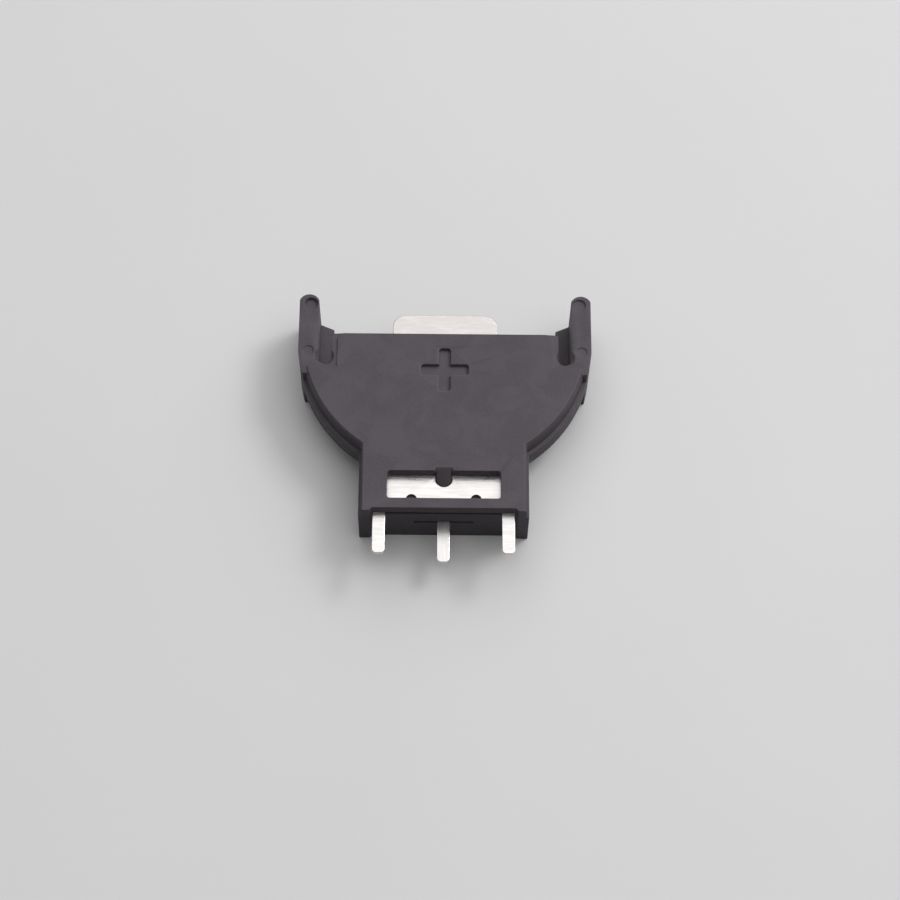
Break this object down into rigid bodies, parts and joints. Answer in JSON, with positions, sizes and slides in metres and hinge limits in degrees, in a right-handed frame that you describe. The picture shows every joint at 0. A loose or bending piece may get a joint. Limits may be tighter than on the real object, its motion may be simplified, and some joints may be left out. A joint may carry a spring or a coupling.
{
  "type": "coin cell holder",
  "caption": "Upright through-hole holder for a coin cell: shield-shaped black housing with two spring arms, a positive contact with two solder pins and a negative leaf spring with one.",
  "frame": {"origin": "middle of the footprint, on the surface that the holder lies on with its back down", "axes": "+Z out of the front shield, -Y along the solder pins towards the board, +Y along the spring arms, +X to the right seen from the front"},
  "size_m": [0.0232, 0.022, 0.0054],
  "materials": {
    "housing": "satin black moulded nylon",
    "contacts": "bright nickel-plated strip"
  },
  "bodies": {
    "root": {"housing": "housing", "positive_contact": "contacts", "negative_contact": "contacts"}
  },
  "joints": []
}
